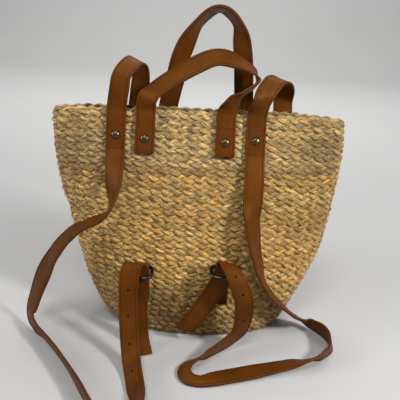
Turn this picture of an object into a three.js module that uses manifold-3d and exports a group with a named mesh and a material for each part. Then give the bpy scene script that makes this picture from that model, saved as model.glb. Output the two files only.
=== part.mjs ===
// A braided jute backpack: a soft basket of plaited jute, two leather carry handles, two long leather
// shoulder straps, rivets at their tabs, and two rings low on the wall that the straps run through.
// Millimetres, +Z up. The origin is the middle of the base's underside. The near wall, which lies
// against the wearer's back, faces -Y, and +X is to the right as one looks at it.
import * as THREE from 'three';
import { mergeVertices } from 'three/addons/utils/BufferGeometryUtils.js';
import Module from 'manifold-3d';

const wasm = await Module();
wasm.setup();

// The two walls, by the way they look along Y.
const NEAR = -1;
const FAR = 1;

// Driving dimensions
const RIM_HEIGHT = 243;
const PLAIT_PITCH = 6.75;
const PLAIT_THICKNESS = 6;
const PLAIT_GROOVE = 1.1;
const RIM_ROUNDING = 2;
const RIM_SAG = 4;
const AROUND = 41;
const FIT_GAP = 0.3;
const FLOOR_GAP = 0.15;

const STRAP_WIDTH = 20;
const STRAP_THICKNESS = 2.6;
const STRAP_STEP = 11;

const RIVET_HEIGHT = 218;
const TAB_END_HEIGHT = 204;
const TAB_TOP_HEIGHT = 231;
const TAB_RIM_HEIGHT = 242;
const HANDLE_TAB_DROP = 2.4;
const RIVET_CAP_RADIUS = 4.2;
const RIVET_CAP_RISE = 2.1;
const RIVET_BACK_RISE = 1.2;
const RIVET_POST_RADIUS = 1.6;
const RIVET_SIDES = 10;

const RING_WIRE_RADIUS = 1.9;
const RING_INNER_WIDTH = 25;
const RING_REACH = 16;
const RING_CORNER = 2.6;
const RING_DROP_ANGLE = 0.36;
const RING_STEPS = 34;
const RING_SIDES = 7;

const RING_TAB_WIDTH = 15;
const RING_TAB_LEATHER = 2;
const RING_TAB_END = 48;
const RING_TAB_CHECKS = 4;
const RING_TAB_ARC_STEPS = 8;
const WELD_DISTANCE = 1e-4;

// The basket's outer form, from the base up: half widths, the depths of the near and far walls, how far
// the section leans sideways, and how square it is (2 is an ellipse).
const BASKET_SECTIONS = [
  { z: 0, half_width: 92, near: 45, far: 46, shift_x: 0, square: 2.2 },
  { z: 4, half_width: 98.5, near: 48.5, far: 50, shift_x: 0, square: 2.2 },
  { z: 12, half_width: 104.5, near: 51.5, far: 53, shift_x: -1, square: 2.2 },
  { z: 30, half_width: 114, near: 53, far: 55, shift_x: -2, square: 2.2 },
  { z: 60, half_width: 126, near: 52.5, far: 55, shift_x: -2, square: 2.2 },
  { z: 95, half_width: 137, near: 49.5, far: 52, shift_x: -0.5, square: 2.25 },
  { z: 130, half_width: 144, near: 44, far: 46, shift_x: -0.5, square: 2.3 },
  { z: 165, half_width: 149.5, near: 36, far: 38, shift_x: -2.5, square: 2.4 },
  { z: 200, half_width: 152, near: 26, far: 27, shift_x: -4, square: 2.6 },
  { z: 225, half_width: 152, near: 17.5, far: 18, shift_x: -5, square: 3 },
  { z: RIM_HEIGHT, half_width: 151, near: 11.5, far: 11.5, shift_x: -5.4, square: 3.6 },
];

// Soft dents in the wall: where around the bag (degrees, 0 at +X, 270 at the near wall), how high, how
// deep, and how far they spread.
const DENTS = [
  { angle: 197, z: 105, depth: 7, spread_angle: 9, spread_z: 40 },
  { angle: 350, z: 150, depth: 3, spread_angle: 14, spread_z: 30 },
];

const material = (color, roughness, metalness) =>
  new THREE.MeshStandardMaterial({ color, roughness, metalness });

const JUTE = material(0xb8935a, 0.95, 0);
const LEATHER = material(0x70401c, 0.5, 0);
const BRASS = material(0x7d6b3e, 0.35, 1);
const GUNMETAL = material(0x24211f, 0.3, 1);

// Outline of the basket

// A column of a table of sections, read at a height between its rows on a smooth curve.
function columnAt(table, column, z) {
  const last = table.length - 1;
  let i = 0;
  while (i < last - 1 && z > table[i + 1].z) {
    i += 1;
  }
  const low = table[i];
  const high = table[i + 1];
  const slope = (a, b) => (table[b][column] - table[a][column]) / (table[b].z - table[a].z);
  const slopeLow = slope(Math.max(i - 1, 0), i + 1);
  const slopeHigh = slope(i, Math.min(i + 2, last));
  const span = high.z - low.z;
  const s = THREE.MathUtils.clamp((z - low.z) / span, 0, 1);
  const h = s * s * (3 - 2 * s);
  const bendLow = s * (1 - s) * (1 - s) * span * slopeLow;
  const bendHigh = s * s * (1 - s) * span * slopeHigh;
  return low[column] + (high[column] - low[column]) * h + bendLow - bendHigh;
}

function sectionAt(z) {
  const section = { z };
  for (const column of ['half_width', 'near', 'far', 'shift_x', 'square']) {
    section[column] = columnAt(BASKET_SECTIONS, column, z);
  }
  return section;
}

function dentAt(angle, z) {
  let depth = 0;
  for (const dent of DENTS) {
    const turn = (THREE.MathUtils.radToDeg(angle) - dent.angle) / dent.spread_angle;
    const rise = (z - dent.z) / dent.spread_z;
    depth += dent.depth * Math.exp(-turn * turn - rise * rise);
  }
  return depth;
}

// How far the rim sags at an angle around the bag: most at its two ends.
function rimSag(angle) {
  return RIM_SAG * Math.cos(angle) ** 4;
}

// A point of the wall at an angle around the bag, set in from the outer face.
function wallPoint(angle, z, inset) {
  const section = sectionAt(z);
  const c = Math.cos(angle);
  const s = Math.sin(angle);
  const power = 2 / section.square;
  const drawnIn = inset + dentAt(angle, z);
  const depth = (s < 0 ? section.near : section.far) - drawnIn;
  const width = section.half_width - drawnIn;
  const x = section.shift_x + Math.sign(c) * width * Math.abs(c) ** power;
  const y = Math.sign(s) * depth * Math.abs(s) ** power;
  return new THREE.Vector3(x, y, z * (1 - rimSag(angle) / RIM_HEIGHT));
}

// How far the near or far wall stands out at a place across the bag.
function wallDepth(x, z, side) {
  const section = sectionAt(THREE.MathUtils.clamp(z, 0, RIM_HEIGHT));
  const across = Math.min(Math.abs(x - section.shift_x) / section.half_width, 1);
  const depth = side < 0 ? section.near : section.far;
  return depth * (1 - across ** section.square) ** (1 / section.square);
}

// Solids from rings of points

// Joins closed rings of equal length, each a list of points, into a tube with flat ends.
function loftGeometry(rings, startCap, endCap) {
  const count = rings[0].length;
  const positions = [];
  const index = [];
  for (const ring of rings) {
    for (const point of ring) {
      positions.push(point.x, point.y, point.z);
    }
  }
  for (let r = 0; r < rings.length - 1; r += 1) {
    for (let i = 0; i < count; i += 1) {
      const a = r * count + i;
      const b = r * count + ((i + 1) % count);
      index.push(a, b, a + count, b, b + count, a + count);
    }
  }
  const lastRing = (rings.length - 1) * count;
  for (let i = 1; i < count - 1; i += 1) {
    if (startCap) {
      index.push(0, i + 1, i);
    }
    if (endCap) {
      index.push(lastRing, lastRing + i, lastRing + i + 1);
    }
  }
  const geometry = new THREE.BufferGeometry();
  geometry.setAttribute('position', new THREE.Float32BufferAttribute(positions, 3));
  geometry.setIndex(index);
  return geometry;
}

function solidFrom(geometry) {
  const plain = geometry.clone();
  plain.deleteAttribute('normal');
  plain.deleteAttribute('uv');
  const merged = mergeVertices(plain, WELD_DISTANCE);
  return new wasm.Manifold(new wasm.Mesh({
    numProp: 3,
    vertProperties: new Float32Array(merged.attributes.position.array),
    triVerts: new Uint32Array(merged.index.array),
  }));
}

function geometryFrom(solid) {
  const mesh = solid.getMesh();
  const geometry = new THREE.BufferGeometry();
  geometry.setAttribute('position', new THREE.Float32BufferAttribute(mesh.vertProperties, 3));
  geometry.setIndex(Array.from(mesh.triVerts));
  return geometry;
}

function cutAll(geometry, tools) {
  let solid = solidFrom(geometry);
  for (const tool of tools) {
    solid = solid.subtract(solidFrom(tool));
  }
  return solid;
}

// The basket: a ribbed wall, a rib for each row of the plait, a flat base and an open mouth
function basketRing(z, inset) {
  const ring = [];
  for (let i = 0; i < AROUND; i += 1) {
    ring.push(wallPoint((i * 2 * Math.PI) / AROUND, z, inset));
  }
  return ring;
}

function basketGeometry() {
  const rings = [];
  const rows = RIM_HEIGHT / PLAIT_PITCH;
  rings.push(basketRing(0, PLAIT_GROOVE));
  for (let row = 0; row < rows; row += 1) {
    rings.push(basketRing((row + 0.5) * PLAIT_PITCH, 0));
    if (row < rows - 1) {
      rings.push(basketRing((row + 1) * PLAIT_PITCH, PLAIT_GROOVE));
    }
  }
  rings.push(basketRing(RIM_HEIGHT, RIM_ROUNDING));
  rings.push(basketRing(RIM_HEIGHT, PLAIT_THICKNESS - RIM_ROUNDING / 2));
  for (const section of BASKET_SECTIONS.toReversed()) {
    if (section.z > PLAIT_THICKNESS && section.z < RIM_HEIGHT) {
      rings.push(basketRing(section.z, PLAIT_THICKNESS));
    }
  }
  rings.push(basketRing(PLAIT_THICKNESS, PLAIT_THICKNESS + PLAIT_GROOVE));
  return loftGeometry(rings, true, true);
}

// Straps and handles: flat leather strips swept along a route

// A row of a route that lies on the near or far wall.
function onWall(x, z, side) {
  const lower = wallDepth(x, z - PLAIT_PITCH, side);
  const upper = wallDepth(x, z + PLAIT_PITCH, side);
  const left = wallDepth(x - STRAP_WIDTH / 2, z, side);
  const right = wallDepth(x + STRAP_WIDTH / 2, z, side);
  const slopeAcross = (left - right) / STRAP_WIDTH;
  const slopeUp = (lower - upper) / (2 * PLAIT_PITCH);
  const face = new THREE.Vector3(slopeAcross, side, slopeUp).normalize();
  const stand = FIT_GAP + STRAP_THICKNESS / 2;
  const depth = wallDepth(x, z, side);
  return {
    x: x + face.x * stand,
    y: side * depth + face.y * stand,
    z: z + face.z * stand,
    nx: face.x,
    ny: face.y,
    nz: face.z,
  };
}

// The four corners of a strap's section. A slant moves its two edges along the strap, one each way.
function strapSection(centre, tangent, face, slant, width) {
  const normal = face.clone().addScaledVector(tangent, -face.dot(tangent)).normalize();
  const across = new THREE.Vector3().crossVectors(normal, tangent).normalize();
  const corners = [[-1, -1], [1, -1], [1, 1], [-1, 1]];
  return corners.map(([a, n]) => centre.clone()
    .addScaledVector(across, (a * width) / 2)
    .addScaledVector(normal, (n * STRAP_THICKNESS) / 2)
    .addScaledVector(tangent, a * slant));
}

// Lifts a section off the floor, and pushes it out of the wall that it lies against.
function settle(section, side) {
  const lowest = Math.min(...section.map((corner) => corner.z));
  const lift = Math.max(0, FLOOR_GAP - lowest);
  let push = 0;
  for (const corner of section) {
    if (corner.z < RIM_HEIGHT && side !== 0) {
      const wall = wallDepth(corner.x, corner.z, side);
      if (wall > 0) {
        push = Math.max(push, wall + FIT_GAP - side * corner.y);
      }
    }
  }
  const shift = new THREE.Vector3(0, side * push, lift);
  return section.map((corner) => corner.add(shift));
}

// A strap along the rows of a route: each row is a place, and the way its outer face looks there. A row
// with a side lies against that wall, and is kept out of it. A row with a width is in a tight bend, where
// the leather cups and so spans less.
function strapGeometry(route) {
  const places = route.map((row) => new THREE.Vector3(row.x, row.y, row.z));
  const faces = route.map((row) => new THREE.Vector3(row.nx, row.ny, row.nz).normalize());
  const curve = new THREE.CatmullRomCurve3(places, false, 'centripetal');
  const spans = places.length - 1;
  const widthAt = (i) => route[i].width ?? STRAP_WIDTH;
  const rings = [];
  for (let i = 0; i < spans; i += 1) {
    const steps = Math.max(2, Math.ceil(places[i].distanceTo(places[i + 1]) / STRAP_STEP));
    const side = route[i].side ?? 0;
    for (let k = 0; k < steps; k += 1) {
      const s = k / steps;
      const face = faces[i].clone().lerp(faces[i + 1], s * s * (3 - 2 * s));
      const slant = THREE.MathUtils.lerp(route[i].slant ?? 0, route[i + 1].slant ?? 0, s);
      const width = THREE.MathUtils.lerp(widthAt(i), widthAt(i + 1), s);
      const t = (i + s) / spans;
      const section = strapSection(curve.getPoint(t), curve.getTangent(t), face, slant, width);
      rings.push(settle(section, side));
    }
  }
  const last = route[spans];
  const tip = curve.getTangent(1);
  const end = strapSection(places[spans], tip, faces[spans], last.slant ?? 0, widthAt(spans));
  rings.push(settle(end, last.side ?? 0));
  return loftGeometry(rings, true, true);
}

// A tab on a wall, from its end up to the rim. A drop sets its end and its rivet lower.
function tabRows(x, side, drop) {
  const rows = [TAB_END_HEIGHT - drop, RIVET_HEIGHT - drop, TAB_TOP_HEIGHT, TAB_RIM_HEIGHT];
  return rows.map((z) => ({ ...onWall(x, z, side), side }));
}

// Where the tabs sit across the bag on each wall. A strap or handle starts and ends at two of them.
const TAB_PLACES = {
  left_shoulder: { near: -88, far: -69.8, drop: 0 },
  left_handle: { near: -58.5, far: -38, drop: HANDLE_TAB_DROP },
  right_handle: { near: 22.5, far: 41, drop: HANDLE_TAB_DROP },
  right_shoulder: { near: 53, far: 82, drop: 0 },
};

// Routes of the leather: a place on the strip's middle line, and the way its outer face looks there.

// The front handle has flopped over to the right and folds back on itself above its right tab.
const FRONT_HANDLE_ARCH = [
  { x: -57, y: -15, z: 255, nx: 0, ny: -1, nz: 0.25 },
  { x: -51.5, y: -9, z: 261.5, nx: -0.3, ny: -0.75, nz: 0.6 },
  { x: -11.5, y: -1, z: 287.5, nx: -0.25, ny: -0.82, nz: 0.5 },
  { x: 13, y: 1, z: 296.5, nx: 0, ny: -0.72, nz: 0.7 },
  { x: 45, y: -1, z: 286, nx: 0.7, ny: -0.3, nz: 0.65 },
  { x: 50.5, y: -3, z: 279.5, nx: 0.98, ny: -0.1, nz: 0.15 },
  { x: 51.5, y: -5.5, z: 274, nx: 0.85, ny: -0.1, nz: -0.5 },
  { x: 37, y: -11.5, z: 263, nx: 0.58, ny: -0.34, nz: -0.72 },
  { x: 28.8, y: -15, z: 254.5, nx: 0.42, ny: -0.82, nz: -0.3 },
];

// The back handle stands up in an arch.
const BACK_HANDLE_ARCH = [
  { x: -31, y: 18, z: 274, nx: -0.15, ny: 1, nz: 0.05 },
  { x: -24.7, y: 18, z: 298.5, nx: -0.35, ny: 0.85, nz: 0.15 },
  { x: -8, y: 18, z: 328.5, nx: -0.65, ny: 0.4, nz: 0.55 },
  { x: 11, y: 17, z: 341, nx: 0, ny: 0.3, nz: 0.95 },
  { x: 28.5, y: 18, z: 329, nx: 0.65, ny: 0.4, nz: 0.6 },
  { x: 36, y: 18, z: 302.5, nx: 0.35, ny: 0.85, nz: 0.2 },
  { x: 40, y: 18.5, z: 262, nx: 0.03, ny: 1, nz: 0.03 },
];

// The left shoulder strap, from its far tab over the mouth to its near tab.
const LEFT_SHOULDER_LOOP = [
  { x: -69.5, y: 20, z: 252, nx: 0.05, ny: 1, nz: 0 },
  { x: -67, y: 14, z: 282, nx: 0.5, ny: 0.65, nz: 0.55 },
  { x: -71, y: 6, z: 289, nx: 0.35, ny: 0, nz: 0.95 },
  { x: -82.4, y: -11, z: 277, nx: -0.2, ny: -0.85, nz: 0.45 },
  { x: -84.6, y: -15, z: 264, nx: -0.1, ny: -1, nz: 0.2 },
];

// From its near tab down the wall, out to the left, along the floor and back to the ring.
const LEFT_SHOULDER_RUN = [
  { x: -87, y: -38, z: 187, nx: -0.3, ny: -0.9, nz: 0.3, side: NEAR },
  { x: -90, y: -58, z: 149.5, nx: -0.9, ny: -0.05, nz: 0.4 },
  { x: -113.5, y: -59.5, z: 135, nx: -0.54, ny: -0.12, nz: 0.83 },
  { x: -129.5, y: -56.5, z: 122.5, nx: -0.68, ny: -0.4, nz: 0.6 },
  { x: -147, y: -52.5, z: 100, nx: -0.66, ny: -0.58, nz: 0.46 },
  { x: -163, y: -47.5, z: 69.5, nx: -0.48, ny: -0.83, nz: 0.28 },
  { x: -176.5, y: -43, z: 35, nx: -0.66, ny: -0.7, nz: 0.2 },
  { x: -180.5, y: -46.5, z: 18, nx: -0.75, ny: -0.62, nz: 0.15 },
  { x: -174, y: -57.5, z: 12, nx: -0.75, ny: -0.62, nz: -0.1 },
  { x: -162, y: -70, z: 11, nx: -0.7, ny: -0.63, nz: -0.34 },
  { x: -146, y: -88, z: 10.8, nx: -0.76, ny: -0.57, nz: -0.31 },
  { x: -128, y: -110.5, z: 10.8, nx: -0.75, ny: -0.6, nz: -0.28 },
  { x: -100.5, y: -150, z: 10.8, nx: -0.82, ny: -0.56, nz: -0.12 },
  { x: -79.5, y: -181, z: 10.8, nx: -0.55, ny: -0.83, nz: 0 },
  { x: -64, y: -187.5, z: 10.8, nx: 0.1, ny: -0.99, nz: 0 },
  { x: -50, y: -181.5, z: 10.8, nx: 0.85, ny: -0.5, nz: -0.08 },
  { x: -45.5, y: -167, z: 9.8, nx: 0.9, ny: 0.05, nz: -0.42 },
  { x: -53.5, y: -135, z: 8.2, nx: 0.6, ny: 0.18, nz: -0.78 },
  { x: -62, y: -102.5, z: 15, nx: 0.27, ny: 0.72, nz: -0.64 },
  { x: -67, y: -83, z: 56, nx: 0.08, ny: 0.97, nz: -0.22 },
  { x: -66.5, y: -76, z: 90.5, nx: 0.04, ny: 0.95, nz: -0.3 },
  { x: -63.5, y: -69.5, z: 99, nx: 0, ny: 0, nz: -1 },
  { x: -60.2, y: -62, z: 90.5, nx: 0, ny: -1, nz: -0.1 },
  { x: -59.4, y: -63, z: 36, nx: 0, ny: -1, nz: 0.06 },
  { x: -57, y: -70.5, z: 9.5, nx: -0.08, ny: -0.88, nz: 0.45 },
  { x: -51.6, y: -87, z: 1.8, nx: -0.03, ny: -0.1, nz: 1 },
];

// The right shoulder strap, from its far tab over the mouth to its near tab.
const RIGHT_SHOULDER_LOOP = [
  { x: 82.3, y: 19.5, z: 252, nx: 0.05, ny: 1, nz: 0 },
  { x: 82, y: 11, z: 272, nx: 0.6, ny: 0.5, nz: 0.6 },
  { x: 72.3, y: 3, z: 277, nx: 0.35, ny: -0.05, nz: 0.95 },
  { x: 60.8, y: -11.5, z: 267, nx: 0.2, ny: -0.83, nz: 0.5 },
  { x: 56.3, y: -16, z: 256.5, nx: 0.4, ny: -0.88, nz: 0.2 },
];

// From its near tab down the wall, out to the right, along the floor, round and up to the ring, where its
// end, cut on a slant, hangs behind.
const RIGHT_SHOULDER_RUN = [
  { x: 53.3, y: -37, z: 184, nx: 0, ny: -1, nz: 0.25, side: NEAR },
  { x: 53, y: -46, z: 162, nx: 0.12, ny: -0.97, nz: 0.2, side: NEAR },
  { x: 53.4, y: -51.8, z: 144, nx: 0.6, ny: -0.75, nz: 0.2 },
  { x: 62.2, y: -60, z: 102.5, nx: 0.85, ny: -0.43, nz: 0.28 },
  { x: 74, y: -58, z: 71.5, nx: 0.8, ny: -0.05, nz: 0.58 },
  { x: 99.8, y: -44, z: 38, nx: 0.67, ny: 0.22, nz: 0.69 },
  { x: 119.5, y: -28, z: 16, nx: 0.5, ny: 0.4, nz: 0.76 },
  { x: 133.5, y: -31, z: 11, nx: 0.5, ny: 0.76, nz: 0.4 },
  { x: 145.5, y: -44, z: 10.6, nx: 0.84, ny: 0.48, nz: 0.22 },
  { x: 149, y: -61, z: 10.6, nx: 0.95, ny: 0.05, nz: 0.25 },
  { x: 138, y: -81.5, z: 9.5, nx: 0.55, ny: -0.75, nz: -0.3 },
  { x: 121, y: -89.5, z: 7.6, nx: 0.2, ny: -0.6, nz: -0.76 },
  { x: 100.5, y: -93.5, z: 4.4, nx: 0.05, ny: -0.28, nz: -0.95 },
  { x: 56.5, y: -107.4, z: 2.8, nx: 0, ny: -0.05, nz: -1 },
  { x: 23, y: -118.2, z: 2.6, nx: 0, ny: 0, nz: -1, width: 18.6 },
  { x: 16, y: -120.8, z: 2.6, nx: 0, ny: 0.02, nz: -1, width: 16 },
  { x: 9.8, y: -122.8, z: 2.8, nx: 0, ny: 0.06, nz: -1, width: 13.6 },
  { x: 3.6, y: -122.8, z: 3.2, nx: -0.03, ny: 0.16, nz: -0.98, width: 13.2 },
  { x: -3, y: -120.4, z: 3.7, nx: 0.14, ny: 0.33, nz: -0.93, width: 13.8 },
  { x: -6.9, y: -114.8, z: 4.2, nx: 0.35, ny: 0.2, nz: -0.91, width: 14.4 },
  { x: -7.2, y: -108.6, z: 5, nx: 0.47, ny: 0.02, nz: -0.88, width: 15 },
  { x: -4.8, y: -103.4, z: 5.8, nx: 0.48, ny: -0.25, nz: -0.84, width: 16 },
  { x: -0.5, y: -99.7, z: 6.6, nx: 0.44, ny: -0.42, nz: -0.8, width: 18 },
  { x: 6.5, y: -96, z: 8, nx: 0.47, ny: -0.58, nz: -0.67, width: 20 },
  { x: 16, y: -90.2, z: 10, nx: 0.56, ny: -0.72, nz: -0.4 },
  { x: 39, y: -74.5, z: 17, nx: 0.55, ny: -0.8, nz: -0.2 },
  { x: 48.5, y: -71.5, z: 27, nx: 0.42, ny: -0.88, nz: -0.17 },
  { x: 50, y: -77.5, z: 65, nx: 0.1, ny: -1, nz: 0 },
  { x: 44, y: -78.5, z: 84, nx: 0.38, ny: -0.9, nz: 0.2 },
  { x: 37.8, y: -77, z: 95.5, nx: 0.55, ny: -0.65, nz: 0.5 },
  { x: 33, y: -73, z: 102.4, nx: 0.45, ny: -0.35, nz: 0.82 },
  { x: 30.4, y: -66.4, z: 103.2, nx: 0.22, ny: 0.35, nz: 0.9 },
  { x: 29.4, y: -61.8, z: 94.5, nx: 0.02, ny: 1, nz: 0.1 },
  { x: 23.8, y: -61.8, z: 78, nx: 0, ny: 1, nz: -0.03 },
  { x: 7, y: -62.5, z: 45, nx: 0, ny: 1, nz: -0.03, slant: 1 },
  { x: -1.5, y: -63.1, z: 31, nx: 0, ny: 1, nz: -0.03, slant: 2.2 },
  { x: -10, y: -63.5, z: 18.5, nx: 0, ny: 1, nz: -0.03, slant: 3.6 },
];

function handleRoute(left, right, arch, side) {
  const down = tabRows(right, side, HANDLE_TAB_DROP).toReversed();
  return [...tabRows(left, side, HANDLE_TAB_DROP), ...arch, ...down];
}

function shoulderRoute(place, loop, run) {
  const near = tabRows(place.near, NEAR, place.drop).toReversed();
  return [...tabRows(place.far, FAR, place.drop), ...loop, ...near, ...run];
}

// Rivets: a domed cap outside, a post through strap and wall, and a flat cap inside

// A solid turned about +Y from rows of radius and height, then stood on its seat.
function turnedGeometry(rows, place) {
  const rings = rows.map((row) => {
    const ring = [];
    for (let i = 0; i < RIVET_SIDES; i += 1) {
      const angle = (i * 2 * Math.PI) / RIVET_SIDES;
      ring.push(new THREE.Vector3(row.radius * Math.sin(angle), row.height, row.radius * Math.cos(angle)));
    }
    return ring;
  });
  const turn = new THREE.Quaternion().setFromUnitVectors(new THREE.Vector3(0, 1, 0), place.face);
  return loftGeometry(rings, true, true)
    .applyQuaternion(turn)
    .translate(place.seat.x, place.seat.y, place.seat.z);
}

// Where a rivet stands: its seat on the strap's outer face, the way it looks, and the length of its post.
function rivetPlace(x, side, drop) {
  const row = onWall(x, RIVET_HEIGHT - drop, side);
  const face = new THREE.Vector3(row.nx, row.ny, row.nz);
  const seat = new THREE.Vector3(row.x, row.y, row.z)
    .addScaledVector(face, STRAP_THICKNESS / 2 + FIT_GAP);
  const grip = STRAP_THICKNESS + PLAIT_THICKNESS + 3 * FIT_GAP;
  return { seat, face, grip };
}

function rivetGeometry(place) {
  const back = -place.grip;
  return turnedGeometry([
    { radius: RIVET_CAP_RADIUS * 0.9, height: back - RIVET_BACK_RISE },
    { radius: RIVET_CAP_RADIUS, height: back - RIVET_BACK_RISE / 2 },
    { radius: RIVET_CAP_RADIUS, height: back },
    { radius: RIVET_POST_RADIUS, height: back },
    { radius: RIVET_POST_RADIUS, height: 0 },
    { radius: RIVET_CAP_RADIUS, height: 0 },
    { radius: RIVET_CAP_RADIUS * 0.93, height: RIVET_CAP_RISE * 0.45 },
    { radius: RIVET_CAP_RADIUS * 0.65, height: RIVET_CAP_RISE * 0.85 },
    { radius: RIVET_CAP_RADIUS * 0.25, height: RIVET_CAP_RISE },
  ], place);
}

function rivetHole(place) {
  const radius = RIVET_POST_RADIUS + FIT_GAP;
  return turnedGeometry([
    { radius, height: -place.grip - RIVET_CAP_RISE },
    { radius, height: RIVET_CAP_RISE },
  ], place);
}

// Rings, and the leather loops that hold them to the near wall

// Where each ring and its loop sit across the bag, and how high the ring's bar is.
const RING_PLACES = {
  left: { ring_x: -60.6, tab_x: -56.9, bar_z: 87 },
  right: { ring_x: 30, tab_x: 26.8, bar_z: 92.5 },
};

// The frame of a ring's loop on the wall: the way up the wall, the way out of it, and the bar's height.
function ringTabFrame(place) {
  const foot = new THREE.Vector3(place.tab_x, -wallDepth(place.tab_x, RING_TAB_END, NEAR), RING_TAB_END);
  const head = new THREE.Vector3(place.tab_x, -wallDepth(place.tab_x, place.bar_z, NEAR), place.bar_z);
  const up = head.clone().sub(foot).normalize();
  const out = new THREE.Vector3(0, -up.z, up.y);
  const edges = [-RING_TAB_WIDTH / 2, 0, RING_TAB_WIDTH / 2];
  let bulge = 0;
  for (let k = 0; k <= RING_TAB_CHECKS; k += 1) {
    const z = THREE.MathUtils.lerp(RING_TAB_END, place.bar_z, k / RING_TAB_CHECKS);
    for (const edge of edges) {
      const wall = new THREE.Vector3(place.tab_x, -wallDepth(place.tab_x + edge, z, NEAR), z);
      bulge = Math.max(bulge, wall.sub(foot).dot(out));
    }
  }
  const length = head.distanceTo(foot);
  const eye = RING_WIRE_RADIUS + FIT_GAP + RING_TAB_LEATHER;
  const bar = head.clone().addScaledVector(out, bulge + FIT_GAP + eye);
  return { up, out, length, bar };
}

// A closed loop of round wire: a straight bar at the back, and a bow that drops forward from it.
function ringGeometry(place) {
  const { up, out, bar } = ringTabFrame(place);
  const half = RING_INNER_WIDTH / 2 + RING_WIRE_RADIUS;
  const corner = RING_CORNER;
  const forward = out.clone().multiplyScalar(Math.cos(RING_DROP_ANGLE))
    .addScaledVector(up, -Math.sin(RING_DROP_ANGLE));
  const outline = [
    { across: -half + corner, reach: 0 },
    { across: -half + 2 * corner, reach: 0 },
    { across: half - 2 * corner, reach: 0 },
    { across: half - corner, reach: 0 },
    { across: half, reach: corner },
    { across: half, reach: RING_REACH - 2 * corner },
    { across: half - corner, reach: RING_REACH - corner / 2 },
    { across: 0, reach: RING_REACH },
    { across: -half + corner, reach: RING_REACH - corner / 2 },
    { across: -half, reach: RING_REACH - 2 * corner },
    { across: -half, reach: corner },
  ];
  const places = outline.map((row) => new THREE.Vector3(place.ring_x + row.across, bar.y, bar.z)
    .addScaledVector(forward, row.reach));
  const path = new THREE.CatmullRomCurve3(places, true, 'centripetal');
  return new THREE.TubeGeometry(path, RING_STEPS, RING_WIRE_RADIUS, RING_SIDES, true);
}

// A strip of leather, folded round the ring's bar and sewn flat to the wall.
function ringTabGeometry(place) {
  const { up, out, length, bar } = ringTabFrame(place);
  const inner = RING_WIRE_RADIUS + FIT_GAP;
  const outer = inner + RING_TAB_LEATHER;
  const flat = outer - 2 * RING_TAB_LEATHER;
  const shape = new THREE.Shape();
  shape.moveTo(outer, -length);
  shape.lineTo(outer, 0);
  shape.absarc(0, 0, outer, 0, Math.PI, false);
  shape.lineTo(flat, -2 * outer);
  shape.lineTo(flat, -length);
  shape.closePath();
  const eye = new THREE.Path();
  eye.absarc(0, 0, inner, 0, 2 * Math.PI, true);
  shape.holes.push(eye);
  const strip = new THREE.ExtrudeGeometry(shape, {
    depth: RING_TAB_WIDTH,
    bevelEnabled: false,
    curveSegments: RING_TAB_ARC_STEPS,
  });
  // The shape's first axis looks at the wall, its second up the wall, and the strip's width is along X.
  const turn = new THREE.Matrix4().makeBasis(out.clone().negate(), up, new THREE.Vector3(1, 0, 0));
  return strip.applyMatrix4(turn).translate(place.tab_x - RING_TAB_WIDTH / 2, bar.y, bar.z);
}

// The assembly
const backpack = new THREE.Group();
backpack.name = 'braided_jute_backpack';

function addPiece(name, solid, look) {
  const mesh = new THREE.Mesh(geometryFrom(solid), look);
  mesh.name = name;
  backpack.add(mesh);
}

const rivets = {};
for (const [tab, place] of Object.entries(TAB_PLACES)) {
  rivets[`${tab}_near_rivet`] = rivetPlace(place.near, NEAR, place.drop);
  rivets[`${tab}_far_rivet`] = rivetPlace(place.far, FAR, place.drop);
}
const holes = Object.values(rivets).map(rivetHole);

const { left_handle, right_handle, left_shoulder, right_shoulder } = TAB_PLACES;
const leather = {
  front_handle: handleRoute(left_handle.near, right_handle.near, FRONT_HANDLE_ARCH, NEAR),
  back_handle: handleRoute(left_handle.far, right_handle.far, BACK_HANDLE_ARCH, FAR),
  left_shoulder_strap: shoulderRoute(left_shoulder, LEFT_SHOULDER_LOOP, LEFT_SHOULDER_RUN),
  right_shoulder_strap: shoulderRoute(right_shoulder, RIGHT_SHOULDER_LOOP, RIGHT_SHOULDER_RUN),
};

addPiece('basket', cutAll(basketGeometry(), holes), JUTE);
for (const [name, route] of Object.entries(leather)) {
  addPiece(name, cutAll(strapGeometry(route), holes), LEATHER);
}
for (const [name, place] of Object.entries(rivets)) {
  addPiece(name, solidFrom(rivetGeometry(place)), BRASS);
}
for (const [side, place] of Object.entries(RING_PLACES)) {
  addPiece(`${side}_ring`, solidFrom(ringGeometry(place)), GUNMETAL);
  addPiece(`${side}_ring_tab`, solidFrom(ringTabGeometry(place)), LEATHER);
}

export default backpack;
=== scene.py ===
"""Looks of the braided jute backpack: plait, leather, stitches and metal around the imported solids."""

import math

import bpy
import numpy as np
from mathutils import Matrix, Vector


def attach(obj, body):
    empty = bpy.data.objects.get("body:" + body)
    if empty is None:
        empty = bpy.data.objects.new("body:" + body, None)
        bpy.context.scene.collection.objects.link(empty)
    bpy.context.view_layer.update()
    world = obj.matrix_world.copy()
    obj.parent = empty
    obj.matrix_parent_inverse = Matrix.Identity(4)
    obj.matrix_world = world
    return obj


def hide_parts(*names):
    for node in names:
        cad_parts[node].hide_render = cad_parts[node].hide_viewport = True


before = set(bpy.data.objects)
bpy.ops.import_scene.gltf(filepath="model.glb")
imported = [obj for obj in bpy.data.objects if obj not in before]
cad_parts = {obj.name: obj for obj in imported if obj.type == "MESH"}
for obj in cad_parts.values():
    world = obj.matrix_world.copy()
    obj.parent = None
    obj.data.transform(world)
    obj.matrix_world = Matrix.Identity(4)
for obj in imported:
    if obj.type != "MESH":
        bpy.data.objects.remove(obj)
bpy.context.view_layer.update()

MM = 0.001
SEED = 7
NEAR = -1
FAR = 1

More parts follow.
